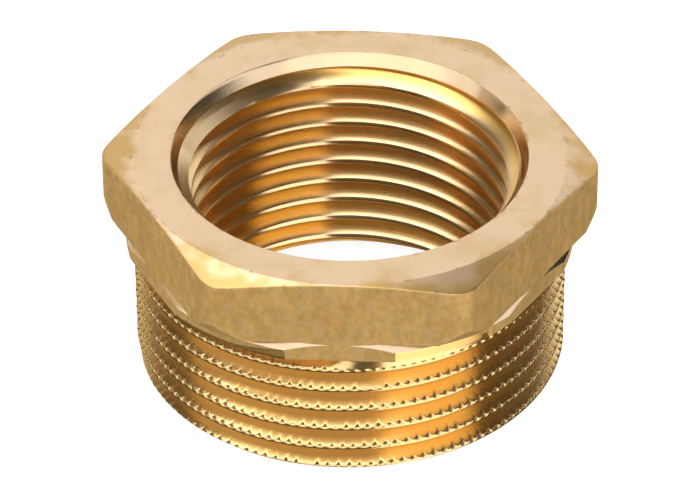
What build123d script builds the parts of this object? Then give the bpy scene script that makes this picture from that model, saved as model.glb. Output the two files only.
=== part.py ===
from build123d import *
import math
import os

# Sizes of the pipe threads, in millimetres and degrees
PITCH = 2.309
FLANK_HALF_ANGLE = 27.5
THREAD_DEPTH = 1.479
MALE_MAJOR_DIAMETER = 41.91
FEMALE_MAJOR_DIAMETER = 33.249
FEMALE_BORE_DIAMETER = 30.93
MALE_THREAD_START = 1.954
FEMALE_THREAD_START = 0.17

# Sizes of the threaded shank
SHANK_LENGTH = 13.8
END_CHAMFER = 0.955
BORE_END_CHAMFER = 0.93

# Sizes of the turned collar and the groove over it
COLLAR_DIAMETER = 43.4
COLLAR_HEIGHT = 1.1
COLLAR_BEVEL_HEIGHT = 0.7
GROOVE_DIAMETER = 42.2
GROOVE_HEIGHT = 0.25

# Sizes of the hexagon head
HEAD_HEIGHT = 6.75
ACROSS_FLATS = 42.15
CORNER_DIAMETER = 47.68
UNDERSIDE_DIAMETER = 46.0
UNDERSIDE_BEVEL_HEIGHT = 1.35
TOP_RING_DIAMETER = 41.86
TOP_BEVEL_DROP = 0.76

# Sizes of the bore's mouth
MOUTH_DIAMETER = 34.38
MOUTH_FLOOR_DIAMETER = 33.2
MOUTH_DEPTH = 1.2

# Heights and radii that follow from the sizes
collar_top = SHANK_LENGTH + COLLAR_HEIGHT
bevel_top = collar_top + COLLAR_BEVEL_HEIGHT
head_bottom = bevel_top + GROOVE_HEIGHT
head_top = head_bottom + HEAD_HEIGHT
corner_bottom = head_bottom + UNDERSIDE_BEVEL_HEIGHT
corner_top = head_top - TOP_BEVEL_DROP
mouth_floor = head_top - MOUTH_DEPTH
male_major_radius = MALE_MAJOR_DIAMETER / 2
male_root_radius = male_major_radius - THREAD_DEPTH
female_root_radius = FEMALE_MAJOR_DIAMETER / 2
bore_radius = FEMALE_BORE_DIAMETER / 2
mouth_floor_radius = MOUTH_FLOOR_DIAMETER / 2
tool_clearance = PITCH / 8
flank_slope = math.tan(math.radians(FLANK_HALF_ANGLE))
root_half_width = PITCH / 12


def turned(outline):
    """A solid turned about the Z axis from an outline of radius and height pairs."""
    corners = [(radius, 0, height) for radius, height in outline]
    section = Face(Wire.make_polygon([Vector(*corner) for corner in corners], close=True))
    return revolve(section, Axis.Z, 360)


def one_turn_of_groove(root_radius, open_radius, start):
    """One right-hand turn of the cutter's V, flat at its root and wider at its open side."""
    open_half_width = root_half_width + abs(open_radius - root_radius) * flank_slope

    def edge_path(radius, offset):
        return Edge.make_helix(PITCH, PITCH, radius, center=(0, 0, start + offset))

    paths = [
        edge_path(root_radius, -root_half_width),
        edge_path(root_radius, root_half_width),
        edge_path(open_radius, open_half_width),
        edge_path(open_radius, -open_half_width),
    ]
    walls = [
        Face.make_surface_from_curves(path, following)
        for path, following in zip(paths, paths[1:] + paths[:1])
    ]
    ends = [
        Face(Wire.make_polygon([path.position_at(place) for path in paths], close=True))
        for place in (0, 1)
    ]
    return Solid(Shell(walls + ends))


def cut_thread(body, root_radius, open_radius, start, length):
    """The body with a helical groove cut turn after turn until it has passed the length."""
    groove = one_turn_of_groove(root_radius, open_radius, start)
    turns = math.ceil((length + PITCH - start) / PITCH)
    for turn in range(turns):
        body = body - groove.moved(Location((0, 0, turn * PITCH)))
    return body


# Threaded shank
shank = turned(
    [
        (0, 0),
        (male_major_radius - END_CHAMFER, 0),
        (male_major_radius, END_CHAMFER),
        (male_major_radius, SHANK_LENGTH),
        (0, SHANK_LENGTH),
    ]
)
shank = cut_thread(
    shank,
    male_root_radius,
    male_major_radius + tool_clearance,
    -MALE_THREAD_START,
    SHANK_LENGTH,
)

# Collar, groove and hexagon head
head = turned(
    [
        (0, SHANK_LENGTH),
        (COLLAR_DIAMETER / 2, SHANK_LENGTH),
        (COLLAR_DIAMETER / 2, collar_top),
        (GROOVE_DIAMETER / 2, bevel_top),
        (GROOVE_DIAMETER / 2, head_bottom),
        (UNDERSIDE_DIAMETER / 2, head_bottom),
        (CORNER_DIAMETER / 2, corner_bottom),
        (CORNER_DIAMETER / 2, corner_top),
        (TOP_RING_DIAMETER / 2, head_top),
        (0, head_top),
    ]
)
hexagon = extrude(
    RegularPolygon(ACROSS_FLATS / 2, 6, major_radius=False),
    amount=head_top,
)
head = head & hexagon

# Bore with its chamfered end and open mouth
bore = turned(
    [
        (0, 0),
        (bore_radius + BORE_END_CHAMFER, 0),
        (bore_radius, BORE_END_CHAMFER),
        (bore_radius, mouth_floor - (mouth_floor_radius - bore_radius)),
        (mouth_floor_radius, mouth_floor),
        (MOUTH_DIAMETER / 2, head_top),
        (0, head_top),
    ]
)
bushing = (shank + head) - bore
bushing = cut_thread(
    bushing,
    female_root_radius,
    bore_radius - tool_clearance,
    -FEMALE_THREAD_START,
    head_top,
)

os.makedirs("parts", exist_ok=True)
export_step(bushing, "parts/hex_bushing.step")
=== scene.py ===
"""Looks of a brass hexagon reducing bushing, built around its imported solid."""

import logging
import math
from dataclasses import dataclass
from enum import Enum

import bmesh
import bpy
import numpy as np
from mathutils import Matrix, Vector


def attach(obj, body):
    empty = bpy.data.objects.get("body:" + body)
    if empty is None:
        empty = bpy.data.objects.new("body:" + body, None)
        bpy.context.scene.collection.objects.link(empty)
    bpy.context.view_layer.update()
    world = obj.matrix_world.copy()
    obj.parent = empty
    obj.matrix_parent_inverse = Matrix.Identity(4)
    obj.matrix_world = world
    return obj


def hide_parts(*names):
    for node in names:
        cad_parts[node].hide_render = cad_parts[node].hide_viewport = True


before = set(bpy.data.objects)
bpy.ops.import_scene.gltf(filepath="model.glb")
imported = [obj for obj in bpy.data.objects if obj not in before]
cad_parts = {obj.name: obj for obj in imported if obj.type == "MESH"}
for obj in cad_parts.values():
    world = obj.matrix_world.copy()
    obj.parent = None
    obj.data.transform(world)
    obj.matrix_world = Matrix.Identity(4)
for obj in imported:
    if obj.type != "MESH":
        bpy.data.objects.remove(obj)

MM = 0.001
TURN = 2 * math.pi
NODE = "hex_bushing"
BODY = "root"
SHARP_ANGLE = math.radians(28)
WELD_STEP = 0.002 * MM
EASING_STEPS = 3
LOW_CARD_HEIGHT = -1.0
LEAST_LENGTH = 1e-9
LEAST_HALF_ANGLE = 0.05
MARGIN_LIMIT = 0.49
ROUND_OFF = 1e-6

log = logging.getLogger("bushing")


class Finish(Enum):
    """The finishes of the bushing's surfaces, in the order of each piece's material list."""

    FORGED = 0
    FACED = 1
    TURNED = 2
    BORED = 3
    CUT = 4


def eased(
    corners: np.ndarray,
    radii: tuple[float, ...],
    margin: float,
    limit: float = 0.4,
    steps: int = EASING_STEPS,
) -> np.ndarray:
    """Rounds the corners of many section lines at once.

    Args:
        corners: Section lines, as lines by corners by two.
        radii: The rounding radius at each corner.
        margin: How far outside each rounding one more point lies, or 0 for none.
        limit: The most of the shorter side that a rounding may take.
        steps: How many straight steps stand for each rounding.

    Returns:
        The section lines, with the same number of points at each inner corner.
    """
    points = [corners[:, 0]]
    for place in range(1, corners.shape[1] - 1):
        before, here, after = (corners[:, place + step] for step in (-1, 0, 1))
        arm_in, arm_out = before - here, after - here
        length_in = np.linalg.norm(arm_in, axis=1, keepdims=True)
        length_out = np.linalg.norm(arm_out, axis=1, keepdims=True)
        unit_in = arm_in / np.maximum(length_in, LEAST_LENGTH)
        unit_out = arm_out / np.maximum(length_out, LEAST_LENGTH)
        cosine = np.clip((unit_in * unit_out).sum(1, keepdims=True), -1, 1)
        reach = radii[place] / np.tan(np.maximum(np.arccos(cosine) / 2, LEAST_HALF_ANGLE))
        shorter = np.minimum(length_in, length_out)
        reach = np.minimum(reach, limit * shorter)
        start, end = here + unit_in * reach, here + unit_out * reach
        if margin:
            points.append(here + unit_in * np.minimum(reach + margin, MARGIN_LIMIT * length_in))
        for step in range(steps + 1):
            share = step / steps
            bend = (1 - share) ** 2 * start + 2 * share * (1 - share) * here + share**2 * end
            points.append(bend)
        if margin:
            points.append(here + unit_out * np.minimum(reach + margin, MARGIN_LIMIT * length_out))
    points.append(corners[:, -1])
    return np.stack(points, axis=1)


def smooth_step(values: np.ndarray, low: float, high: float) -> np.ndarray:
    """An even rise from 0 at low to 1 at high.

    Args:
        values: Where to read the rise.
        low: Where it starts.
        high: Where it ends.

    Returns:
        The rise at each value.
    """
    share = np.clip((values - low) / (high - low), 0, 1)
    return share * share * (3 - 2 * share)


@dataclass
class RoundGrid:
    """A closed grid of points round the Z axis, as columns by rows, whose last row meets its first."""

    angles: np.ndarray
    radii: np.ndarray
    heights: np.ndarray
    finishes: np.ndarray
    # Edge wear per point, which on the threads is also a painted highlight down the outer flank
    edges: np.ndarray
    # Grime per point, which on the threads is also painted shade in the roots and serrations
    grime_and_shade: np.ndarray
    next_rows: np.ndarray

    def piece(self, name: str, materials: list[bpy.types.Material]) -> bpy.types.Object:
        """The grid as a solid object that stands for the bushing's node.

        Args:
            name: The piece's name.
            materials: The materials, in the order of the finishes.

        Returns:
            The finished object, riding on its body.
        """
        points = np.stack(
            [self.radii * np.cos(self.angles), self.radii * np.sin(self.angles), self.heights], -1
        )
        columns, rows = self.radii.shape
        flat = points.reshape(-1, 3)
        keys = np.round(flat / WELD_STEP).astype(np.int64)
        _, first, welded = np.unique(keys, axis=0, return_index=True, return_inverse=True)
        welded = welded.reshape(columns, rows)
        faces, finishes = [], []
        for column in range(columns):
            following = (column + 1) % columns
            partner = self.next_rows if following == 0 else np.arange(rows)
            for row in range(rows):
                above = (row + 1) % rows
                ring = [
                    welded[column, row],
                    welded[following, partner[row]],
                    welded[following, partner[above]],
                    welded[column, above],
                ]
                kept = [int(point) for place, point in enumerate(ring) if point != ring[place - 1]]
                if len(kept) > 2 and len(set(kept)) == len(kept):
                    faces.append(kept)
                    finishes.append(self.finishes[column, row])
        mesh = bpy.data.meshes.new(name)
        mesh.from_pydata(flat[first].tolist(), [], faces)
        mesh.polygons.foreach_set("material_index", np.array(finishes, dtype=np.int32))
        # The grime attribute also carries painted shade in the thread roots and serrations, and the
        # edge attribute a painted highlight on their flanks
        for label, values in (("edge", self.edges), ("grime_and_shade", self.grime_and_shade)):
            marked = mesh.attributes.new(label, "FLOAT", "POINT")
            marked.data.foreach_set("value", values.reshape(-1)[first].astype(np.float32))
        shape = bmesh.new()
        shape.from_mesh(mesh)
        bmesh.ops.recalc_face_normals(shape, faces=shape.faces)
        shape.to_mesh(mesh)
        shape.free()
        mesh.shade_smooth()
        mesh.set_sharp_from_angle(angle=SHARP_ANGLE)
        piece = in_scene(name, mesh)
        for material in materials:
            mesh.materials.append(material)
        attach(piece, BODY)
        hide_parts(NODE)
        log.info("%s: %d faces", name, len(faces))
        return piece


@dataclass
class ThreadedSleeve:
    """A ring of metal with a helical thread on one side and a plain seam on the other."""

    name: str
    finish: Finish
    crest_radius: float
    cut_depth: float
    outward: int
    start: float
    height: float
    seam_radius: float = 18.2 * MM
    pitch: float = 2.309 * MM
    flank_half_angle: float = 27.5
    crest_easing: float = 0.18 * MM
    root_easing: float = 0.16 * MM
    easing_limit: float = 0.9
    easing_steps: int = 2
    # How far down the flank the crest wear, with its painted highlight, reaches
    wear_and_highlight_depth: float = 0.95 * MM
    # Painted shade in the thread roots: the depth where it starts and how dark it gets
    root_shade_depth: float = 0.8 * MM
    painted_root_shade: float = 0.3
    column_count: int = 480

    def extra_depths(self) -> list[float]:
        """Depths below the crest where the flank that faces up gets a row of its own."""
        return [self.cut_depth / 2]

    def base_angles(self) -> np.ndarray:
        """The columns' angles round the axis."""
        return np.arange(self.column_count) * TURN / self.column_count

    def section(self) -> np.ndarray:
        """The groove over one pitch, whose other flank gets one row of its own, in its middle.

        Returns:
            Heights from the groove's middle and depths below the crest, one pair a row.
        """
        slope = math.tan(math.radians(self.flank_half_angle))
        root = self.pitch / 12
        mouth = root + self.cut_depth * slope
        corners = [(0, self.cut_depth), (root, self.cut_depth), (mouth, 0), (self.pitch / 2, 0)]
        easings = (0, self.root_easing, self.crest_easing, 0)
        outline = np.array(corners)[None]
        half = eased(outline, easings, 0, limit=self.easing_limit, steps=self.easing_steps)[0]
        middle = self.cut_depth / 2
        upper = np.vstack([half, (mouth - middle * slope, middle)])
        added = [(mouth - depth * slope, depth) for depth in self.extra_depths()]
        lower = np.vstack([half, added])
        upper, lower = (side[np.argsort(side[:, 0])] for side in (upper, lower))
        return np.vstack([lower[:0:-1] * (-1, 1), upper])

    def relieved(self, radii: np.ndarray, heights: np.ndarray) -> np.ndarray:
        """The thread's radii after the turning at its ends, which each thread gives for itself."""
        return radii

    def run_out(self, turns: np.ndarray) -> np.ndarray:
        """How much of the groove's depth is cut at each turn of its length."""
        return np.ones_like(turns)

    def notched(
        self, depths: np.ndarray, turns: np.ndarray, place: np.ndarray
    ) -> tuple[np.ndarray, np.ndarray, np.ndarray]:
        """Depths below the crest, angle shifts and grime with painted shade, after what is pressed
        into the crest.

        Args:
            depths: Depths below the crest, as columns by rows.
            turns: Which groove each point is in, counted from the first.
            place: Where each point is between that groove's two crests, from 0 to 1.

        Returns:
            The new depths, the shifts and the grime with painted shade.
        """
        return depths, np.zeros_like(depths), np.zeros_like(depths)

    def grid(self) -> RoundGrid:
        """The sleeve's points, whose thread rows climb by one pitch in each turn.

        Returns:
            The closed grid of the sleeve.
        """
        section = self.section()
        steps = len(section) - 1
        base = self.base_angles()[:, None]
        turn_count = math.ceil((self.height - self.start) / self.pitch + 0.5)
        climbs = (np.arange(turn_count)[:, None] * self.pitch + section[None, :-1, 0]).ravel()
        heights = self.start + self.pitch * base / TURN + climbs[None]
        heights = np.clip(heights, 0, self.height)
        grooves = (heights - self.start) / self.pitch - base / TURN
        turns = np.floor(grooves + 0.5)
        place = grooves - turns + 0.5
        depths = np.interp((place - 0.5) * self.pitch, section[:, 0], section[:, 1])
        depths = depths * self.run_out(turns + base / TURN)
        depths, shifts, grime_and_shade = self.notched(depths, turns, place)
        threaded = self.crest_radius - self.outward * depths
        radii = self.relieved(threaded, heights)
        rows = heights.shape[1]
        seam = np.full_like(base, self.seam_radius)
        next_rows = np.minimum(np.arange(rows) + steps, rows - 1) + 1
        # Crest wear, and a painted highlight down the outer part of the flank
        worn_and_highlit = smooth_step(depths, self.wear_and_highlight_depth, 0.0)
        worn_and_highlit = np.where(np.abs(radii - threaded) > WELD_STEP, 1.0, worn_and_highlit)
        # Painted shade in the roots, where the flank above shades them, added to the serrations' grime
        shaded_root = smooth_step(depths, self.root_shade_depth, self.cut_depth)
        grime_and_shade = np.maximum(grime_and_shade, self.painted_root_shade * shaded_root)
        nothing = np.zeros_like(base)
        return RoundGrid(
            angles=np.hstack([base, base + shifts, base]),
            radii=np.hstack([seam, radii, seam]),
            heights=np.hstack([nothing, heights, nothing + self.height]),
            finishes=np.full((len(base), rows + 2), self.finish.value),
            edges=np.hstack([nothing, worn_and_highlit, nothing]),
            grime_and_shade=np.hstack([nothing, grime_and_shade, nothing]),
            next_rows=np.concatenate([[0], next_rows, [rows + 1]]),
        )


@dataclass
class MaleThread(ThreadedSleeve):
    """The outside pipe thread, with serrations pressed into its crest to hold the sealing hemp."""

    name: str = "male_thread"
    finish: Finish = Finish.CUT
    crest_radius: float = 20.955 * MM
    cut_depth: float = 1.479 * MM
    outward: int = 1
    start: float = -1.954 * MM
    height: float = 13.8 * MM
    end_chamfer: float = 0.955 * MM
    serrations: int = 127
    serration_depth: float = 0.33 * MM
    serration_half_width: float = 0.3 * MM
    land_share: float = 1 / 6
    last_turn: float = 6.715
    lift_turns: float = 0.03
    drift_per_turn: float = 0.37
    unevenness: float = 0.09
    usual_strength: float = 0.9
    least_strength: float = 0.5
    most_strength: float = 0.99
    faint_share: float = 0.05
    faint_strength: float = 0.5
    crossing_start: float = 0.22
    crossing_end: float = 0.78
    seed: int = 11

    def extra_depths(self) -> list[float]:
        """Quarters of the serrations' depth, and where the flank's wear with its painted highlight
        ends.
        """
        quarters = [self.serration_depth * share for share in (0.25, 0.5, 0.75, 1.0)]
        return [*quarters, self.wear_and_highlight_depth]

    def serration_places(self) -> np.ndarray:
        """The columns' places in one serration's spacing, with its middle at 0."""
        half = self.serration_half_width / (self.crest_radius * TURN / self.serrations)
        return np.array([-half, -half / 2, 0, half / 2, half, 0.5])

    def base_angles(self) -> np.ndarray:
        """The columns' angles, with five in each serration and one between.

        Returns:
            The angles, serration by serration.
        """
        spacing = TURN / self.serrations
        middles = (np.arange(self.serrations) + 0.5) * spacing
        return (middles[:, None] + self.serration_places()[None] * spacing).ravel()

    def relieved(self, radii: np.ndarray, heights: np.ndarray) -> np.ndarray:
        """The radii inside the end chamfer."""
        return np.minimum(radii, self.crest_radius - self.end_chamfer + heights)

    def run_out(self, turns: np.ndarray) -> np.ndarray:
        """Lifts the die out of the last groove before it meets the collar."""
        return smooth_step(turns, self.last_turn + self.lift_turns, self.last_turn)

    def notched(
        self, depths: np.ndarray, turns: np.ndarray, place: np.ndarray
    ) -> tuple[np.ndarray, np.ndarray, np.ndarray]:
        """Presses the serrations into the crests, each a little unlike the next.

        Args:
            depths: Depths below the crest, as columns by rows.
            turns: Which groove each point is in, counted from the first.
            place: Where each point is between that groove's two crests, from 0 to 1.

        Returns:
            The new depths, the shifts and the grime with painted shade.
        """
        columns = depths.shape[0]
        chance = np.random.default_rng(self.seed)
        size = (int(turns.max() - turns.min()) + 2, self.serrations)
        slips = chance.normal(0, self.unevenness / 3, size)
        strengths = chance.normal(self.usual_strength, self.unevenness, size)
        strengths = np.clip(strengths, self.least_strength, self.most_strength)
        faint = chance.random(size) < self.faint_share
        strengths = np.where(faint, strengths * self.faint_strength, strengths)
        serration = (np.arange(columns) // len(self.serration_places()))[:, None]
        lower = (turns - turns.min()).astype(int)
        upper = lower + 1
        crossing = smooth_step(place, self.crossing_start, self.crossing_end)
        slip = slips[lower, serration] * (1 - crossing) + slips[upper, serration] * crossing
        around = self.base_angles()[:, None] / TURN
        drift = self.drift_per_turn * (turns + around + crossing)
        spacing = TURN / self.serrations
        nearest = np.where(place < 0.5, lower, upper)
        half = self.serration_half_width / (self.crest_radius * spacing)
        offsets = np.tile(self.serration_places(), self.serrations)[:, None]
        press = np.maximum(1 - np.abs(offsets) / half, 0)
        land = self.land_share / 2
        above = smooth_step(place, 0, land)
        below = smooth_step(place, 1, 1 + land)
        tilt = np.where(place < 0.5, above, below)
        pressed = self.serration_depth * strengths[nearest, serration] * press
        lifted = 1 - self.run_out(turns + around)
        beside_land = smooth_step(place, 0.2 * land, 1.5 * land)
        pressed = pressed * tilt * (1 - lifted * beside_land)
        # Grime in the serrations, which is partly painted shade on their walls
        grime_and_shade = np.where(pressed > depths, pressed / self.serration_depth, 0)
        return np.maximum(depths, pressed), (drift + slip) * spacing, grime_and_shade


@dataclass
class FemaleThread(ThreadedSleeve):
    """The inside pipe thread of the bore."""

    name: str = "female_thread"
    finish: Finish = Finish.BORED
    crest_radius: float = 15.2 * MM
    cut_depth: float = 1.4245 * MM
    crest_easing: float = 0.09 * MM
    outward: int = -1
    start: float = -2.479 * MM
    height: float = 21.4 * MM
    end_radius: float = 16.395 * MM
    mouth_radius: float = 16.5 * MM
    column_count: int = 500

    def extra_depths(self) -> list[float]:
        """Thirds of the flank."""
        return [self.cut_depth / 3, self.cut_depth * 2 / 3]

    def relieved(self, radii: np.ndarray, heights: np.ndarray) -> np.ndarray:
        """The radii outside the end chamfer and the lead at the mouth.

        Args:
            radii: The thread's radii.
            heights: Each point's height.

        Returns:
            The radii after the two chamfers are turned.
        """
        chamfer = self.end_radius - heights
        lead = self.mouth_radius - (self.height - heights)
        return np.maximum(radii, np.maximum(chamfer, lead))


@dataclass
class HexHead:
    """The hexagon head with the turned collar under it and the mouth of the bore."""

    name: str = "hex_head"
    bottom: float = 13.8 * MM
    collar_radius: float = 21.7 * MM
    collar_top: float = 14.9 * MM
    groove_radius: float = 21.1 * MM
    groove_bottom: float = 15.6 * MM
    head_bottom: float = 15.85 * MM
    underside_radius: float = 23.0 * MM
    corner_radius: float = 23.84 * MM
    corner_bottom: float = 17.2 * MM
    corner_top: float = 21.84 * MM
    top: float = 22.6 * MM
    ring_radius: float = 20.93 * MM
    mouth_radius: float = 17.19 * MM
    mouth_floor_radius: float = 16.5 * MM
    mouth_floor: float = 21.4 * MM
    seam_radius: float = 18.2 * MM
    half_across_flats: float = 21.075 * MM
    corner_power: float = 33.7
    flat_growths: tuple[float, ...] = (0.0, 0.035, 0.0, 0.0, 0.0, 0.012)
    easings: tuple[float, ...] = (0, 0.07, 0.12, 0.12, 0.5, 0.3, 0.05, 0.05, 0.06, 0, 0.06, 0, 0)
    margin: float = 0.25 * MM
    turned_share_at: tuple[tuple[float, float], ...] = (
        (20, 0.7),
        (50, 0.3),
        (80, 0.5),
        (100, 0.9),
        (130, 0.4),
        (160, 0.25),
        (190, 0.5),
        (215, 0.15),
        (243, 0.3),
        (256, 1.0),
        (284, 1.0),
        (310, 1.0),
        (312, 0.1),
    )
    nick_angle: float = 308.6
    nick_depth: float = 0.4 * MM
    nick_floor: float = 0.4
    nick_reach: float = 1.1
    burr_angle: float = 310.6
    burr_height: float = 0.14 * MM
    burr_crown: float = 0.2
    burr_reach: float = 0.9
    left_forged: tuple[float, float] = (0.8, 5.0)
    fully_turned: float = 0.99
    column_step: float = 0.75
    fine_column_step: float = 0.2
    fine_column_margin: float = 2.0
    least_column_step: float = 0.05

    def flat_radii(self, angles: np.ndarray) -> np.ndarray:
        """How far the hexagon, with its rounded corners, is from the axis at each angle.

        Args:
            angles: Angles round the axis.

        Returns:
            The radius of the hexagon at each angle.
        """
        total = np.zeros_like(angles)
        for count, growth in enumerate(self.flat_growths):
            leaning = np.cos(angles - math.radians(270 + 60 * count))
            distance = self.half_across_flats + growth * MM
            total += (np.maximum(leaning, 0) / distance) ** self.corner_power
        return total ** (-1 / self.corner_power)

    def turned_band(self, angles: np.ndarray) -> np.ndarray:
        """How much of the collar's height the turning tool has cleaned at each angle."""
        known_angles, shares = zip(*self.turned_share_at)
        return np.interp(np.degrees(angles), known_angles, shares, period=360)

    def damage(self, angles: np.ndarray) -> np.ndarray:
        """How far a nick and the burr beside it move the collar's lower edge.

        Args:
            angles: Angles round the axis.

        Returns:
            The change of radius at each angle, outward where it is above 0.
        """
        nick = np.abs(np.degrees(angles) - self.nick_angle)
        burr = np.abs(np.degrees(angles) - self.burr_angle)
        pushed = self.burr_height * smooth_step(burr, self.burr_reach, self.burr_crown)
        return pushed - self.nick_depth * smooth_step(nick, self.nick_reach, self.nick_floor)

    def column_angles(self) -> np.ndarray:
        """Even columns, finer ones at the nick, and one wherever a flat crosses a turned radius.

        Returns:
            The angles in rising order.
        """
        angles = list(np.radians(np.arange(0, 360, self.column_step)))
        fine_start = self.nick_angle - self.fine_column_margin
        fine_end = self.burr_angle + self.fine_column_margin
        angles += list(np.radians(np.arange(fine_start, fine_end, self.fine_column_step)))
        turned = (self.groove_radius, self.collar_radius, self.underside_radius, self.corner_radius)
        for count, growth in enumerate(self.flat_growths):
            middle = math.radians(270 + 60 * count)
            for radius in turned:
                share = (self.half_across_flats + growth * MM) / radius
                if share < 1:
                    angles += [middle + side * math.acos(share) for side in (-1, 1)]
        ordered = np.sort(np.mod(angles, TURN))
        apart = np.diff(ordered) > math.radians(self.least_column_step)
        return ordered[np.concatenate([[True], apart])]

    def grid(self) -> RoundGrid:
        """The head's points, whose sections are cut where each column meets the hexagon.

        Returns:
            The closed grid of the head.
        """
        angles = self.column_angles()
        flats = self.flat_radii(angles)
        side = np.minimum(flats, self.corner_radius)
        slope = (self.top - self.corner_top) / (self.corner_radius - self.ring_radius)
        rise = (self.corner_bottom - self.head_bottom) / (self.corner_radius - self.underside_radius)
        fall = (self.groove_bottom - self.collar_top) / (self.collar_radius - self.groove_radius)
        groove = np.minimum(self.groove_radius, side)
        collar = np.minimum(self.collar_radius, side)
        share = self.turned_band(angles)
        collar_edge = self.groove_bottom - (collar - groove) * fall
        turned_edge = self.bottom + (collar_edge - self.bottom) * share
        damaged = collar + np.where(side > self.collar_radius, self.damage(angles), 0)
        whole = np.ones_like(side)
        corners = [
            (self.mouth_floor_radius * whole, self.mouth_floor * whole),
            (self.mouth_radius * whole, self.top * whole),
            (self.ring_radius * whole, self.top * whole),
            (side, self.top - (side - self.ring_radius) * slope),
            (side, self.head_bottom + np.maximum(side - self.underside_radius, 0) * rise),
            (np.minimum(side, self.underside_radius), self.head_bottom * whole),
            (groove, self.head_bottom * whole),
            (groove, self.groove_bottom * whole),
            (collar, collar_edge),
            (damaged, turned_edge),
            (damaged, self.bottom * whole),
            (self.seam_radius * whole, self.bottom * whole),
            (self.seam_radius * whole, self.mouth_floor * whole),
        ]
        outline = np.stack([np.stack(corner, -1) for corner in corners], axis=1)
        easings = tuple(radius * MM for radius in self.easings)
        points = eased(outline, easings, self.margin)
        # The points of each corner's rounding, and the one on each side of it
        per_corner = EASING_STEPS + 1 + 2
        rows = points.shape[1]
        forged_groove = side < self.groove_radius - ROUND_OFF
        forged_collar = side < self.collar_radius - ROUND_OFF
        past_nick = np.degrees(angles) - self.nick_angle
        nearest, farthest = self.left_forged
        forged_collar |= (past_nick > nearest) & (past_nick < farthest)
        faced, turned, forged = (
            np.full(len(side), kind.value) for kind in (Finish.FACED, Finish.TURNED, Finish.FORGED)
        )
        shoulder = np.where(forged_groove, forged, turned)
        lower_collar = np.where(forged_collar, forged, Finish.CUT.value)
        upper_collar = np.where(share < self.fully_turned, forged, lower_collar)
        order = [turned, faced, faced, forged, forged, forged]
        order += [forged, shoulder, upper_collar, lower_collar, turned, turned]
        finishes = np.zeros((len(side), rows), dtype=int)
        edges = np.zeros((len(side), rows))
        for row in range(rows):
            passed = (row + per_corner - 3) // per_corner
            finishes[:, row] = order[min(passed, len(order) - 1)]
            within = (row - 1) % per_corner
            if row and 0 < within < per_corner - 1:
                edges[:, row] = 1.0
        return RoundGrid(
            angles=np.repeat(angles[:, None], rows, axis=1),
            radii=points[:, :, 0],
            heights=points[:, :, 1],
            finishes=finishes,
            edges=edges,
            grime_and_shade=np.zeros_like(edges),
            next_rows=np.arange(rows),
        )


def new_group(
    name: str, inputs: dict[str, float], outputs: dict[str, str]
) -> tuple[bpy.types.ShaderNodeTree, bpy.types.Node, bpy.types.Node]:
    """A shader node group with number inputs.

    Args:
        name: The group's name.
        inputs: Each input's name and default.
        outputs: Each output's name and its kind, Float or Color.

    Returns:
        The group, its input node and its output node.
    """
    group = bpy.data.node_groups.new(name, "ShaderNodeTree")
    for label, default in inputs.items():
        socket = group.interface.new_socket(label, in_out="INPUT", socket_type="NodeSocketFloat")
        socket.default_value = default
    for label, kind in outputs.items():
        group.interface.new_socket(label, in_out="OUTPUT", socket_type="NodeSocket" + kind)
    return group, group.nodes.new("NodeGroupInput"), group.nodes.new("NodeGroupOutput")


def feed(tree: bpy.types.NodeTree, socket: bpy.types.NodeSocket, value: object) -> None:
    """Gives an input its value.

    Args:
        tree: The node tree that the input is in.
        socket: The input.
        value: A socket to link to it, or a number or colour to set on it.
    """
    if isinstance(value, bpy.types.NodeSocket):
        tree.links.new(value, socket)
    else:
        socket.default_value = value


def new_material(name: str) -> tuple[bpy.types.Material, bpy.types.NodeTree, bpy.types.Node]:
    """A material with a Principled shader.

    Args:
        name: The material's name.

    Returns:
        The material, its node tree and its shader.
    """
    material = bpy.data.materials.new(name)
    material.use_nodes = True
    tree = material.node_tree
    return material, tree, next(node for node in tree.nodes if node.type == "BSDF_PRINCIPLED")


def in_scene(name: str, data: bpy.types.ID) -> bpy.types.Object:
    """A new object in the scene.

    Args:
        name: The object's name.
        data: Its mesh, lamp or camera.

    Returns:
        The object.
    """
    made = bpy.data.objects.new(name, data)
    bpy.context.scene.collection.objects.link(made)
    return made


def math_node(tree: bpy.types.NodeTree, operation: str, *values: object) -> bpy.types.NodeSocket:
    """A Math node on sockets or numbers.

    Args:
        tree: The node tree that gets the node.
        operation: The Math node's operation.
        values: A socket or a number for each of its inputs.

    Returns:
        The node's output.
    """
    node = tree.nodes.new("ShaderNodeMath")
    node.operation = operation
    for place, value in enumerate(values):
        feed(tree, node.inputs[place], value)
    return node.outputs[0]


def noise(
    tree: bpy.types.NodeTree,
    vector: bpy.types.NodeSocket,
    scale: object,
    detail: float = 2.0,
    roughness: float = 0.5,
) -> bpy.types.NodeSocket:
    """A Noise Texture's value.

    Args:
        tree: The node tree that gets the node.
        vector: Where the noise is read.
        scale: Its scale, a socket or a number.
        detail: How many finer layers it has.
        roughness: How strong the finer layers are.

    Returns:
        The noise, about 0.5 on average.
    """
    node = tree.nodes.new("ShaderNodeTexNoise")
    node.inputs["Detail"].default_value = detail
    node.inputs["Roughness"].default_value = roughness
    tree.links.new(vector, node.inputs["Vector"])
    feed(tree, node.inputs["Scale"], scale)
    return node.outputs[0]


def spread(
    tree: bpy.types.NodeTree, value: bpy.types.NodeSocket, low: float, high: float
) -> bpy.types.NodeSocket:
    """A value taken from low..high to 0..1, smoothly and with its ends held.

    Args:
        tree: The node tree that gets the node.
        value: The value to spread.
        low: The value that becomes 0.
        high: The value that becomes 1.

    Returns:
        The spread value.
    """
    node = tree.nodes.new("ShaderNodeMapRange")
    node.interpolation_type = "SMOOTHSTEP"
    tree.links.new(value, node.inputs["Value"])
    node.inputs["From Min"].default_value = low
    node.inputs["From Max"].default_value = high
    return node.outputs["Result"]


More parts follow.
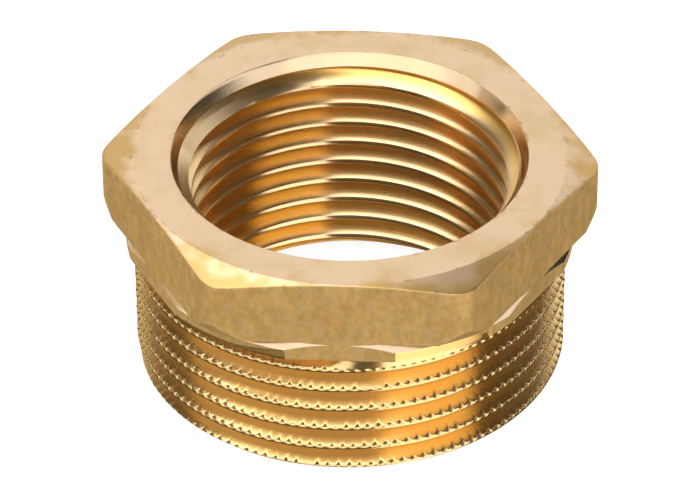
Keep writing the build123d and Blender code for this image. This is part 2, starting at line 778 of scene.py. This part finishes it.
def millimetres(tree: bpy.types.NodeTree) -> bpy.types.NodeSocket:
    """The point on the object, in millimetres.

    Args:
        tree: The node tree that gets the nodes.

    Returns:
        The point.
    """
    place = tree.nodes.new("ShaderNodeTexCoord")
    scaled = tree.nodes.new("ShaderNodeVectorMath")
    scaled.operation = "SCALE"
    scaled.inputs["Scale"].default_value = 1 / MM
    tree.links.new(place.outputs["Object"], scaled.inputs[0])
    return scaled.outputs[0]


def joined(tree: bpy.types.NodeTree, *parts: object) -> bpy.types.NodeSocket:
    """A vector from three parts.

    Args:
        tree: The node tree that gets the node.
        parts: Three sockets or numbers.

    Returns:
        The vector.
    """
    node = tree.nodes.new("ShaderNodeCombineXYZ")
    for place, part in enumerate(parts):
        feed(tree, node.inputs[place], part)
    return node.outputs[0]


def taken_apart(
    tree: bpy.types.NodeTree, point: bpy.types.NodeSocket
) -> tuple[bpy.types.NodeSocket, ...]:
    """A point's parts and its distance from the Z axis.

    Args:
        tree: The node tree that gets the nodes.
        point: The point.

    Returns:
        Its X, Y and Z, and its distance from the axis.
    """
    apart = tree.nodes.new("ShaderNodeSeparateXYZ")
    tree.links.new(point, apart.inputs[0])
    x, y, z = apart.outputs
    x_squared = math_node(tree, "MULTIPLY", x, x)
    y_squared = math_node(tree, "MULTIPLY", y, y)
    return x, y, z, math_node(tree, "SQRT", math_node(tree, "ADD", x_squared, y_squared))


class EffectLibrary:
    """The node groups that more than one finish uses, each built once."""

    line_breaks: float = 3.0
    streak_breaks: float = 9.0
    streak_scale: float = 0.22
    coarse_scale: float = 0.31
    mottle_scale: float = 0.2
    mottle_squeeze: tuple[float, float, float] = (1.0, 1.0, 0.55)
    fine_share: float = 0.65
    coarse_share: float = 0.5
    spot_scale: float = 4.5
    rim_raggedness: float = 9.0
    wear_and_highlight_scale: float = 1.6
    chip_scale: float = 0.9

    def __init__(self) -> None:
        """Builds the groups."""
        self.tool_marks = self._tool_marks()
        self.grain = self._grain()
        self.patina = self._patina()
        self.wear_and_painted_light = self._wear_and_painted_light()

    def _tool_marks(self) -> bpy.types.ShaderNodeTree:
        """Fine lines round the axis, as a lathe tool or a die leaves them.

        Returns:
            The group, with the lines' height and the wider streaks among them.
        """
        group, given, result = new_group(
            "tool_marks", {"Spacing": 0.1, "Pitch": 0.0}, {"Height": "Float", "Streaks": "Float"}
        )
        x, y, z, radius = taken_apart(group, millimetres(group))
        turned = math_node(group, "DIVIDE", math_node(group, "ARCTAN2", y, x), TURN)
        climb = math_node(group, "MULTIPLY", turned, given.outputs["Pitch"])
        level = math_node(group, "SUBTRACT", z, climb)
        across = math_node(group, "DIVIDE", radius, given.outputs["Spacing"])
        along = math_node(group, "DIVIDE", level, given.outputs["Spacing"])
        drawn_out = math_node(group, "MULTIPLY", turned, self.line_breaks)
        lines = noise(group, joined(group, across, along, drawn_out), 1.0, 2.0, 0.6)
        wide_across = math_node(group, "MULTIPLY", across, self.streak_scale)
        wide_along = math_node(group, "MULTIPLY", along, self.streak_scale)
        slow = math_node(group, "MULTIPLY", turned, self.streak_breaks)
        streaks = noise(group, joined(group, wide_across, wide_along, slow), 1.0, 3.0, 0.6)
        group.links.new(lines, result.inputs["Height"])
        group.links.new(streaks, result.inputs["Streaks"])
        return group

    def _grain(self) -> bpy.types.ShaderNodeTree:
        """The fine even grain that shot blasting leaves on a forging, and the mottling under it.

        Returns:
            The group, with the grain's height, its speckle and the mottling.
        """
        group, given, result = new_group(
            "blasted_grain",
            {"Size": 0.2},
            {"Height": "Float", "Speckle": "Float", "Mottle": "Float"},
        )
        place = millimetres(group)
        scale = math_node(group, "DIVIDE", 1.0, given.outputs["Size"])
        fine = noise(group, place, scale, 3.0, 0.65)
        coarse = noise(group, place, math_node(group, "MULTIPLY", scale, self.coarse_scale), 3.0, 0.6)
        drawn = group.nodes.new("ShaderNodeVectorMath")
        drawn.operation = "MULTIPLY"
        drawn.inputs[1].default_value = self.mottle_squeeze
        group.links.new(place, drawn.inputs[0])
        mottle_size = math_node(group, "MULTIPLY", scale, self.mottle_scale)
        mottle = noise(group, drawn.outputs[0], mottle_size, 4.0, 0.62)
        fine_part = math_node(group, "MULTIPLY", fine, self.fine_share)
        coarse_part = math_node(group, "MULTIPLY", coarse, self.coarse_share)
        height = math_node(group, "ADD", fine_part, coarse_part)
        group.links.new(height, result.inputs["Height"])
        group.links.new(spread(group, coarse, 0.35, 0.68), result.inputs["Speckle"])
        group.links.new(spread(group, mottle, 0.3, 0.7), result.inputs["Mottle"])
        return group

    def _patina(self) -> bpy.types.ShaderNodeTree:
        """Soft clouds of tarnish, small spots, and a golden stain towards the outer rim.

        Returns:
            The group, with a mask for each of the three.
        """
        group, given, result = new_group(
            "patina",
            {"Size": 5.0, "Rim": 22.0},
            {"Clouds": "Float", "Spots": "Float", "Rim": "Float"},
        )
        place = millimetres(group)
        radius = taken_apart(group, place)[-1]
        scale = math_node(group, "DIVIDE", 1.0, given.outputs["Size"])
        clouds = noise(group, place, scale, 4.0, 0.6)
        small = noise(group, place, math_node(group, "MULTIPLY", scale, self.spot_scale), 2.0, 0.5)
        ragged = math_node(group, "MULTIPLY_ADD", clouds, self.rim_raggedness, radius)
        beyond = math_node(group, "SUBTRACT", ragged, given.outputs["Rim"])
        group.links.new(spread(group, clouds, 0.42, 0.68), result.inputs["Clouds"])
        group.links.new(spread(group, small, 0.62, 0.72), result.inputs["Spots"])
        group.links.new(spread(group, beyond, 3.6, 6.2), result.inputs["Rim"])
        return group

    def _wear_and_painted_light(self) -> bpy.types.ShaderNodeTree:
        """Worn bright in some places along the edges, nicked dark in others; painted highlight and
        shade on threads.

        Returns:
            The group, with masks for wear and a painted highlight, nicks, grime and painted shade, and
            the edges themselves.
        """
        group, given, result = new_group(
            "edge_wear_and_painted_light",
            {"Reach": 0.5, "Nicks": 0.3},
            {"Bright": "Float", "Dark": "Float", "Grime and shade": "Float", "Edge": "Float"},
        )
        edge = group.nodes.new("ShaderNodeAttribute")
        edge.attribute_name = "edge"
        place = millimetres(group)
        broken = noise(group, place, self.wear_and_highlight_scale, 3.0, 0.6)
        chipped = noise(group, place, self.chip_scale, 4.0, 0.7)
        # Edge wear, which on the threads is also a painted highlight down the outer flank
        worn_and_highlit = math_node(group, "MULTIPLY", edge.outputs["Fac"], given.outputs["Reach"])
        worn_bright_and_highlight = math_node(group, "MULTIPLY", spread(group, broken, 0.0, 0.36), worn_and_highlit)
        nicked = math_node(group, "MULTIPLY", edge.outputs["Fac"], given.outputs["Nicks"])
        dark = math_node(group, "MULTIPLY", spread(group, chipped, 0.54, 0.66), nicked)
        # Grime, which on the threads is also painted shade in the roots and serrations
        grime_and_shade_attribute = group.nodes.new("ShaderNodeAttribute")
        grime_and_shade_attribute.attribute_name = "grime_and_shade"
        group.links.new(worn_bright_and_highlight, result.inputs["Bright"])
        group.links.new(dark, result.inputs["Dark"])
        group.links.new(spread(group, grime_and_shade_attribute.outputs["Fac"], 0.1, 0.6), result.inputs["Grime and shade"])
        group.links.new(edge.outputs["Fac"], result.inputs["Edge"])
        return group


@dataclass(frozen=True)
class BrassFinish:
    """One finish of the brass: its colours, with painted highlight and shade on the threads, its gloss
    and the marks that making it left.
    """

    name: str
    colour: tuple[float, float, float]
    stain: tuple[float, float, float]
    roughness: float
    stretch: float = 0.0
    rough_change: float = 0.08
    stain_amount: float = 0.3
    rim_stain: float = 0.0
    rim_radius: float = 22.0
    spot_amount: float = 0.0
    mark_spacing: float = 0.1
    mark_pitch: float = 0.0
    mark_depth: float = 0.004
    grain_size: float = 0.2
    grain_depth: float = 0.0
    speckle: float = 0.0
    mottle: float = 0.0
    frost: tuple[float, float, float] = (0.98, 0.8, 0.5)
    # Wear on the edges, which on the threads also paints a highlight down the outer flank
    wear_and_highlight_reach: float = 0.3
    nick_reach: float = 0.0
    # Grime in hollows, which on the threads also paints shade in the roots and serrations
    caught_grime_and_shade: float = 0.0
    polish: float = 0.0
    metallic: float = 1.0
    # Colour of the wear and of the painted highlight on the threads
    wear_and_highlight_colour: tuple[float, float, float] = (0.97, 0.83, 0.58)
    # Colour of grime, spots and nicks, and of the painted shade in the thread roots and serrations
    grime_and_shade: tuple[float, float, float] = (0.16, 0.09, 0.03)
    cloud_size: float = 5.0
    mottle_shade: float = 0.62
    mean_streak: float = 0.5
    across_lines: float = 0.25

    def material(self, effects: EffectLibrary) -> bpy.types.Material:
        """The finish as a material.

        Args:
            effects: The shared node groups.

        Returns:
            The material.
        """
        material, tree, shader = new_material(self.name)
        shader.inputs["Metallic"].default_value = self.metallic
        if self.stretch:
            self._stretch_along_lines(tree, shader)
        marks = self._placed(
            tree, effects.tool_marks, Spacing=self.mark_spacing, Pitch=self.mark_pitch
        )
        grain = self._placed(tree, effects.grain, Size=self.grain_size)
        patina = self._placed(tree, effects.patina, Size=self.cloud_size, Rim=self.rim_radius)
        wear_and_painted_light = self._placed(tree, effects.wear_and_painted_light, Reach=self.wear_and_highlight_reach, Nicks=self.nick_reach)
        shaded = tuple(self.mottle_shade * part for part in self.colour)
        layers = (
            (patina.outputs["Clouds"], self.stain_amount, self.stain),
            (patina.outputs["Rim"], self.rim_stain, self.stain),
            (grain.outputs["Mottle"], self.mottle, shaded),
            (grain.outputs["Speckle"], self.speckle, self.frost),
            (patina.outputs["Spots"], self.spot_amount, self.grime_and_shade),
            # Wear, which on the threads is also a painted highlight
            (wear_and_painted_light.outputs["Bright"], 1.0 if self.wear_and_highlight_reach else 0.0, self.wear_and_highlight_colour),
            (wear_and_painted_light.outputs["Dark"], 1.0 if self.nick_reach else 0.0, self.grime_and_shade),
            # Grime, which on the threads is also painted shade in the roots and serrations
            (wear_and_painted_light.outputs["Grime and shade"], self.caught_grime_and_shade, self.grime_and_shade),
        )
        colour = self.colour
        for mask, amount, over in layers:
            if amount:
                share = math_node(tree, "MULTIPLY", mask, amount)
                colour = self._mixed(tree, share, colour, over)
        tree.links.new(colour, shader.inputs["Base Color"])
        drift = math_node(tree, "SUBTRACT", marks.outputs["Streaks"], self.mean_streak)
        rough = math_node(tree, "MULTIPLY_ADD", drift, self.rough_change, self.roughness)
        rough = math_node(tree, "MULTIPLY_ADD", wear_and_painted_light.outputs["Edge"], -self.polish, rough)
        tree.links.new(rough, shader.inputs["Roughness"])
        height = math_node(tree, "MULTIPLY", marks.outputs["Height"], self.mark_depth)
        height = math_node(tree, "MULTIPLY_ADD", grain.outputs["Height"], self.grain_depth, height)
        bump = tree.nodes.new("ShaderNodeBump")
        bump.inputs["Strength"].default_value = 1.0
        bump.inputs["Distance"].default_value = MM
        tree.links.new(height, bump.inputs["Height"])
        tree.links.new(bump.outputs[0], shader.inputs["Normal"])
        return material

    def _stretch_along_lines(self, tree: bpy.types.NodeTree, shader: bpy.types.Node) -> None:
        """Spreads the gloss across the tool's lines, which run round the axis.

        Args:
            tree: The material's node tree.
            shader: The material's shader.
        """
        around = tree.nodes.new("ShaderNodeTangent")
        around.direction_type = "RADIAL"
        around.axis = "Z"
        tree.links.new(around.outputs[0], shader.inputs["Tangent"])
        shader.inputs["Anisotropic"].default_value = self.stretch
        shader.inputs["Anisotropic Rotation"].default_value = self.across_lines

    def _placed(
        self, tree: bpy.types.NodeTree, group: bpy.types.ShaderNodeTree, **values: float
    ) -> bpy.types.Node:
        """A group placed in the material with its own values.

        Args:
            tree: The material's node tree.
            group: The group.
            values: The value of each of its inputs, by name.

        Returns:
            The group's node.
        """
        node = tree.nodes.new("ShaderNodeGroup")
        node.node_tree = group
        for label, value in values.items():
            node.inputs[label].default_value = value
        return node

    def _mixed(
        self, tree: bpy.types.NodeTree, share: bpy.types.NodeSocket, under: object, over: object
    ) -> bpy.types.NodeSocket:
        """One colour over another by a share.

        Args:
            tree: The material's node tree.
            share: How much of the upper colour shows.
            under: The lower colour, a socket or three numbers.
            over: The upper colour, a socket or three numbers.

        Returns:
            The mixed colour.
        """
        node = tree.nodes.new("ShaderNodeMix")
        node.data_type = "RGBA"
        tree.links.new(share, node.inputs["Factor"])
        for label, colour in (("A", under), ("B", over)):
            socket = next(s for s in node.inputs if s.name == label and s.type == "RGBA")
            feed(tree, socket, (*colour, 1.0) if isinstance(colour, tuple) else colour)
        return next(s for s in node.outputs if s.type == "RGBA")


FINISHES = {
    Finish.FORGED: BrassFinish(
        "blasted_brass",
        colour=(0.93, 0.575, 0.17),
        stain=(0.72, 0.43, 0.12),
        roughness=0.6,
        metallic=0.6,
        stain_amount=0.45,
        grain_size=0.22,
        grain_depth=0.035,
        speckle=0.28,
        mottle=0.55,
        mark_depth=0.0,
        wear_and_highlight_reach=0.1,
        nick_reach=0.25,
    ),
    Finish.FACED: BrassFinish(
        "faced_brass",
        colour=(0.8, 0.59, 0.385),
        stain=(0.63, 0.4, 0.14),
        roughness=0.36,
        stain_amount=0.4,
        rim_stain=0.95,
        rim_radius=21.4,
        spot_amount=0.08,
        mark_spacing=0.12,
        mark_depth=0.006,
        wear_and_highlight_reach=0.0,
        nick_reach=0.5,
    ),
    Finish.TURNED: BrassFinish(
        "turned_brass",
        colour=(0.95, 0.73, 0.49),
        stain=(0.8, 0.5, 0.18),
        roughness=0.17,
        stretch=0.3,
        mark_spacing=0.1,
        mark_depth=0.004,
        stain_amount=0.2,
        wear_and_highlight_reach=0.1,
    ),
    # Its wear layer paints a highlight down the flanks, and its caught grime paints shade in the roots
    Finish.BORED: BrassFinish(
        "bored_brass",
        colour=(0.88, 0.57, 0.18),
        stain=(0.86, 0.48, 0.13),
        roughness=0.28,
        stretch=0.85,
        mark_spacing=0.12,
        mark_pitch=2.309,
        mark_depth=0.0025,
        stain_amount=0.25,
        wear_and_highlight_reach=0.8,
        polish=0.06,
        wear_and_highlight_colour=(0.9, 0.69, 0.44),
        caught_grime_and_shade=0.7,
    ),
    # Its wear layer paints a highlight down the flanks, and its caught grime paints shade in the roots
    # and serrations
    Finish.CUT: BrassFinish(
        "cut_brass",
        colour=(0.93, 0.61, 0.22),
        stain=(0.86, 0.5, 0.15),
        roughness=0.29,
        stretch=0.85,
        mark_spacing=0.12,
        mark_pitch=2.309,
        mark_depth=0.0025,
        stain_amount=0.25,
        wear_and_highlight_reach=0.55,
        caught_grime_and_shade=0.85,
        polish=0.08,
        wear_and_highlight_colour=(0.95, 0.7, 0.37),
    ),
}


@dataclass(frozen=True)
class Card:
    """A flat board round the set that only reflections see: its corners in metres and its shade."""

    name: str
    corners: tuple[tuple[float, float, float], ...]
    shade: tuple[float, float, float]

    def build(self) -> None:
        """Puts the card up."""
        mesh = bpy.data.meshes.new(self.name)
        mesh.from_pydata(self.corners, [], [tuple(range(len(self.corners)))])
        card = in_scene(self.name, mesh)
        material, _, shader = new_material(self.name)
        shader.inputs["Base Color"].default_value = (0.0, 0.0, 0.0, 1.0)
        shader.inputs["Specular IOR Level"].default_value = 0.0
        shader.inputs["Emission Color"].default_value = (*self.shade, 1.0)
        shader.inputs["Emission Strength"].default_value = 1.0
        mesh.materials.append(material)
        card.visible_camera = False
        card.visible_diffuse = False
        card.visible_shadow = False
        card.visible_transmission = False


def below(reach: float, *bearings: float) -> tuple[tuple[float, float, float], ...]:
    """A wedge far below the bushing, with its tip under the bushing.

    Args:
        reach: How far the wedge goes from the axis.
        bearings: Where its rim's corners lie, in degrees from the front.

    Returns:
        The wedge's corners.
    """
    turned = [math.radians(bearing) for bearing in bearings]
    rim = [(reach * math.sin(turn), -reach * math.cos(turn), LOW_CARD_HEIGHT) for turn in turned]
    return ((0.0, 0.0, LOW_CARD_HEIGHT), *rim)


CARDS = (
    Card("front_low_card", below(3.5, -95, -57, -18, 20), (0.08, 0.06, 0.028)),
    Card("bright_low_card", below(9.0, 20, 36, 52, 69), (1.75, 1.65, 1.5)),
    Card("right_low_card", below(9.0, 69, 92, 115, 137), (0.14, 0.095, 0.045)),
    Card("back_low_card", below(9.0, 137, 180, 210, 227), (0.55, 0.45, 0.34)),
    Card("left_low_card", below(9.0, 227, 240, 255, 265), (0.1, 0.07, 0.035)),
    Card(
        "overhead_softbox_card",
        (
            (-0.72, -0.4, 1.0),
            (0.3025, -0.4, 1.0),
            (0.015, 0.0, 1.0),
            (-0.02, 0.35, 1.0),
            (-0.08, 0.7, 1.0),
            (-0.45, 0.7, 1.0),
            (-0.72, 0.35, 1.0),
        ),
        (2.7, 2.6, 2.45),
    ),
    Card(
        "overhead_front_card",
        ((-0.72, -0.8, 1.0), (0.59, -0.8, 1.0), (0.3025, -0.4, 1.0), (-0.72, -0.4, 1.0)),
        (2.0, 1.93, 1.8),
    ),
    Card(
        "front_softbox_card",
        (
            (-0.6, -0.35, 0.03),
            (-0.3, -0.8, 0.03),
            (0.4, -0.8, 0.03),
            (0.55, -0.55, 0.03),
            (0.55, -0.55, 0.4),
            (0.4, -0.8, 0.45),
            (-0.3, -0.8, 0.45),
            (-0.6, -0.35, 0.4),
        ),
        (1.35, 1.3, 1.2),
    ),
    Card(
        "right_card",
        (
            (0.5, -0.3, 0.32),
            (0.5, 0.52, 0.32),
            (0.5, 0.52, 1.1),
            (0.5, -0.54, 1.1),
            (0.5, -0.54, 0.45),
        ),
        (0.07, 0.05, 0.03),
    ),
    Card(
        "low_right_card",
        ((0.5, -0.21, -0.1), (0.5, 0.52, -0.1), (0.5, 0.52, 0.16), (0.5, -0.21, 0.16)),
        (0.015, 0.01, 0.005),
    ),
    Card(
        "left_softbox_card",
        ((-0.5, -0.4, 0.74), (-0.5, 0.24, 0.74), (-0.5, 0.24, 0.98), (-0.5, -0.4, 0.98)),
        (3.6, 3.5, 3.3),
    ),
    Card(
        "overhead_card",
        ((0.015, 0.0, 1.0), (0.4, -0.54, 1.0), (0.5, 0.52, 1.0), (0.3, 0.8, 1.0), (-0.05, 0.75, 1.0)),
        (0.1, 0.075, 0.04),
    ),
    Card(
        "left_card",
        ((-0.5, -0.05, 0.36), (-0.5, 0.6, 0.36), (-0.5, 0.6, 0.72), (-0.5, -0.05, 0.72)),
        (0.05, 0.032, 0.015),
    ),
    Card(
        "low_left_card",
        ((-0.5, -0.05, 0.0), (-0.5, 1.0, 0.0), (-0.5, 1.0, 0.36), (-0.5, -0.05, 0.36)),
        (0.6, 0.5, 0.38),
    ),
    Card(
        "horizon_card",
        ((-0.49, -0.05, -0.08), (-0.49, 0.16, -0.08), (-0.49, 0.16, 0.08), (-0.49, -0.05, 0.08)),
        (0.02, 0.015, 0.01),
    ),
)


@dataclass(frozen=True)
class Softbox:
    """A soft lamp that the camera doesn't see: its size, its place and its power in watts."""

    name: str
    size: tuple[float, float]
    location: tuple[float, float, float]
    energy: float
    faces_bushing: bool = False
    reflected: bool = True

    def build(self) -> None:
        """Puts the lamp up, facing down unless it is turned to the bushing."""
        data = bpy.data.lights.new(self.name, "AREA")
        width, depth = self.size
        data.shape = "SQUARE" if width == depth else "RECTANGLE"
        data.size, data.size_y = width, depth
        data.energy = self.energy
        lamp = in_scene(self.name, data)
        lamp.location = self.location
        if self.faces_bushing:
            lamp.rotation_euler = Vector(self.location).to_track_quat("Z", "Y").to_euler()
        lamp.visible_camera = False
        lamp.visible_glossy = self.reflected


SOFTBOXES = (
    Softbox("overhead_softbox", (0.8, 1.4), (-0.29, 0.0, 1.0), 0.42),
    Softbox("right_softbox", (0.5, 0.5), (0.75, 0.2, 0.3), 0.9, faces_bushing=True, reflected=False),
)


@dataclass
class Studio:
    """The camera, the floor, the soft light and the cards that shape the reflections."""

    target_height: float = 11.036 * MM
    azimuth: float = 2.94
    elevation: float = 36.69
    distance: float = 0.45
    lens: float = 237.8
    roll: float = -0.2417
    sensor_width: float = 36.0
    nearest_seen: float = 0.01
    floor_size: float = 6.0
    floor_height: float = -0.02 * MM
    floor_shade: float = 0.35
    floor_glow: float = 0.88

    def build(self) -> None:
        """Builds the whole studio."""
        self.camera()
        self.world()
        self.floor()
        for fitting in (*SOFTBOXES, *CARDS):
            fitting.build()

    def camera(self) -> None:
        """Puts the camera in front of the bushing and above it."""
        data = bpy.data.cameras.new("camera")
        data.lens = self.lens
        data.sensor_width = self.sensor_width
        data.clip_start = self.nearest_seen
        camera = in_scene("camera", data)
        azimuth, elevation = math.radians(self.azimuth), math.radians(self.elevation)
        back = Vector(
            (
                math.sin(azimuth) * math.cos(elevation),
                -math.cos(azimuth) * math.cos(elevation),
                math.sin(elevation),
            )
        )
        level = Vector((math.cos(azimuth), math.sin(azimuth), 0.0))
        upward = back.cross(level)
        roll = math.radians(self.roll)
        right = level * math.cos(roll) + upward * math.sin(roll)
        upright = upward * math.cos(roll) - level * math.sin(roll)
        place = Vector((0, 0, self.target_height)) + back * self.distance
        turned = Matrix((right, upright, back)).transposed().to_4x4()
        camera.matrix_world = Matrix.Translation(place) @ turned
        bpy.context.scene.camera = camera

    def world(self) -> None:
        """A white surround for the view and the reflections, and a plain soft light."""
        world = bpy.data.worlds.new("studio")
        bpy.context.scene.world = world
        world.use_nodes = True
        background = world.node_tree.nodes["Background"]
        background.inputs["Color"].default_value = (1.0, 1.0, 1.0, 1.0)
        background.inputs["Strength"].default_value = 1.0

    def floor(self) -> None:
        """A plain pale floor that keeps the bushing's shadow and that reflections pass through."""
        mesh = bpy.data.meshes.new("floor")
        half = self.floor_size / 2
        flat_corners = ((-half, -half), (half, -half), (half, half), (-half, half))
        corners = [(*corner, self.floor_height) for corner in flat_corners]
        mesh.from_pydata(corners, [], [(0, 1, 2, 3)])
        floor = in_scene("floor", mesh)
        floor.visible_glossy = False
        material, tree, shader = new_material("floor_white")
        shader.inputs["Base Color"].default_value = (*[self.floor_shade] * 3, 1.0)
        shader.inputs["Roughness"].default_value = 0.9
        shader.inputs["Emission Color"].default_value = (1.0, 1.0, 1.0, 1.0)
        path = tree.nodes.new("ShaderNodeLightPath")
        seen = math_node(tree, "MAXIMUM", path.outputs["Is Camera Ray"], path.outputs["Is Glossy Ray"])
        seen = math_node(tree, "MAXIMUM", seen, path.outputs["Is Transmission Ray"])
        glow = math_node(tree, "MULTIPLY", seen, self.floor_glow)
        tree.links.new(glow, shader.inputs["Emission Strength"])
        mesh.materials.append(material)


def main() -> None:
    """Builds the studio and the bushing."""
    logging.basicConfig(level=logging.INFO, format="%(message)s")
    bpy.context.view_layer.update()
    scene = bpy.context.scene
    scene.view_settings.view_transform = "Standard"
    Studio().build()
    effects = EffectLibrary()
    materials = [FINISHES[finish].material(effects) for finish in Finish]
    for part in (HexHead(), MaleThread(), FemaleThread()):
        part.grid().piece(part.name, materials)
    log.info("bushing done")


if __name__ == "__main__":
    main()
